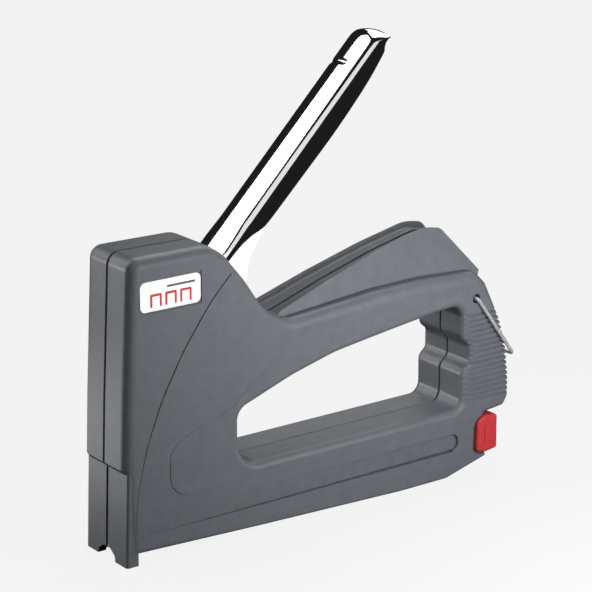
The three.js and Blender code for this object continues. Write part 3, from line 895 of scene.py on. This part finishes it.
# ---- the works inside ----------------------------------------------------------------------------
class STAPLEGUN_OT_works(bpy.types.Operator):
    """Gives the pins, screws, striker, springs and magazine their finishes"""

    bl_idname = "staplegun.works"
    bl_label = "Finish the works inside"

    def execute(self, context):
        slots = {s["node"]: s["material_slot"] for s in frame["record"]["subparts"]}
        for name, node in frame["nodes"].items():
            material = MATERIALS.get(slots[name])
            if material is None or node.hide_render:
                continue
            if not node.material_slots:
                node.data.materials.append(material)
            for place_in in node.material_slots:
                place_in.link = "OBJECT"
                place_in.material = material
        return {"FINISHED"}


# ---- stage ------------------------------------------------------------------------------------
# Each lamp: name, turn and rise of its direction in degrees, distance from the middle of the stage,
# width and height in metres, brightness, and whether shiny surfaces mirror it.
LAMPS = (
    ("back_left_softbox", -43, 38, 1.45, 1.2, 1.4, 2.5, True),
    ("left_low_softbox", -52, -1, 1.2, 0.8, 0.4, 6.0, True),
    ("left_floor_reflector", -58, -20, 0.18, 0.14, 0.05, 1.7, True),
    ("overhead_softbox", 50, 64, 1.3, 0.9, 0.9, 2.8, True),
    ("front_top_softbox", -143, 46, 1.35, 0.8, 0.7, 0.8, True),
    ("back_right_strip", 45, 32, 1.2, 0.5, 0.3, 2.6, True),
    ("front_right_softbox", 167, 8, 0.172, 0.16, 0.12, 9.5, False),
)
STAGE_CENTRE = Vector((0, 0, 0.07))
PAPER_GLOW, AIR_GLOW = 0.86, 0.012
LENS = 143.9
CAMERA_TURN, CAMERA_RISE = -36.5, 17.1
CAMERA_PLACE = (-372.40, -604.50, 305.77)


class STAPLEGUN_OT_stage(bpy.types.Operator):
    """Sets the floor, the studio lights and the camera"""

    bl_idname = "staplegun.stage"
    bl_label = "Set the stage"

    def execute(self, context):
        scene = context.scene
        scene.view_settings.view_transform = "Standard"
        bpy.ops.object.select_all(action="DESELECT")
        bpy.ops.mesh.primitive_circle_add(vertices=96, radius=3.2, fill_type="NGON", location=(0, 0, 0))
        floor = context.object
        floor.name = "studio_floor"
        bpy.ops.mesh.primitive_cylinder_add(vertices=96, radius=3.2, depth=5, end_fill_type="NOTHING",
                                            location=(0, 0, 2.5))
        wall = context.object
        wall.name = "studio_wall"
        paper = bpy.data.materials.new("studio_paper")
        paper.use_nodes = True
        shader = paper.node_tree.nodes["Principled BSDF"]
        shader.inputs["Base Color"].default_value = (0.04, 0.04, 0.04, 1)
        shader.inputs["Roughness"].default_value = 0.95
        shader.inputs["Specular IOR Level"].default_value = 0.0
        shader.inputs["Emission Color"].default_value = (1, 1, 1, 1)
        shader.inputs["Emission Strength"].default_value = PAPER_GLOW
        for sheet in (floor, wall):
            sheet.data.materials.append(paper)
            sheet.visible_glossy = sheet.visible_diffuse = False
        wall.visible_shadow = False

        world = bpy.data.worlds.new("studio_air")
        scene.world = world
        world.use_nodes = True
        sky = world.node_tree.nodes["Background"]
        sky.inputs["Color"].default_value = (1, 1, 1, 1)
        sky.inputs["Strength"].default_value = AIR_GLOW

        for name, turn, rise, distance, width, height, glow, mirrored in LAMPS:
            lamp = bpy.data.lights.new(name, "AREA")
            lamp.shape = "RECTANGLE"
            lamp.size, lamp.size_y = width, height
            lamp.energy = glow * math.pi * width * height
            holder = bpy.data.objects.new(name, lamp)
            scene.collection.objects.link(holder)
            t, e = math.radians(turn), math.radians(rise)
            towards = Vector((math.sin(t) * math.cos(e), math.cos(t) * math.cos(e), math.sin(e)))
            holder.location = STAGE_CENTRE + towards * distance
            holder.rotation_euler = (-towards).to_track_quat("-Z", "Y").to_euler()
            holder.visible_camera = False
            holder.visible_glossy = mirrored

        view = bpy.data.cameras.new("view")
        view.lens = LENS
        view.sensor_width = 36
        view.clip_start = 0.02
        camera = bpy.data.objects.new("view", view)
        scene.collection.objects.link(camera)
        turn, rise = math.radians(CAMERA_TURN), math.radians(CAMERA_RISE)
        back = Vector((math.sin(turn) * math.cos(rise), -math.cos(turn) * math.cos(rise), math.sin(rise)))
        camera.location = place(*CAMERA_PLACE)
        camera.rotation_euler = (-back).to_track_quat("-Z", "Y").to_euler()
        scene.camera = camera
        return {"FINISHED"}


class STAPLEGUN_PT_panel(bpy.types.Panel):
    """Sidebar list of the steps and sizes"""

    bl_label = "Staple gun"
    bl_idname = "STAPLEGUN_PT_panel"
    bl_space_type = "VIEW_3D"
    bl_region_type = "UI"
    bl_category = "Staple gun"

    def draw(self, context):
        for group in (context.scene.staplegun_sizes, context.scene.staplegun_colours):
            for key in group.__annotations__:
                self.layout.prop(group, key)
        for step in STEPS:
            self.layout.operator(step.bl_idname)


STEPS = (STAPLEGUN_OT_finishes, STAPLEGUN_OT_housing, STAPLEGUN_OT_label, STAPLEGUN_OT_lever,
         STAPLEGUN_OT_cap, STAPLEGUN_OT_bail, STAPLEGUN_OT_works, STAPLEGUN_OT_stage)
CLASSES = (StapleGunSizes, StapleGunColours, *STEPS, STAPLEGUN_PT_panel)


def register():
    for kind in CLASSES:
        bpy.utils.register_class(kind)
    bpy.types.Scene.staplegun_sizes = PointerProperty(type=StapleGunSizes)
    bpy.types.Scene.staplegun_colours = PointerProperty(type=StapleGunColours)


def unregister():
    del bpy.types.Scene.staplegun_colours
    del bpy.types.Scene.staplegun_sizes
    for kind in reversed(CLASSES):
        bpy.utils.unregister_class(kind)


def main():
    register()
    bpy.ops.staplegun.finishes()
    bpy.ops.staplegun.housing()
    bpy.ops.staplegun.label()
    bpy.ops.staplegun.lever()
    bpy.ops.staplegun.cap()
    bpy.ops.staplegun.bail()
    bpy.ops.staplegun.works()
    bpy.ops.staplegun.stage()


if __name__ == "__main__":
    main()
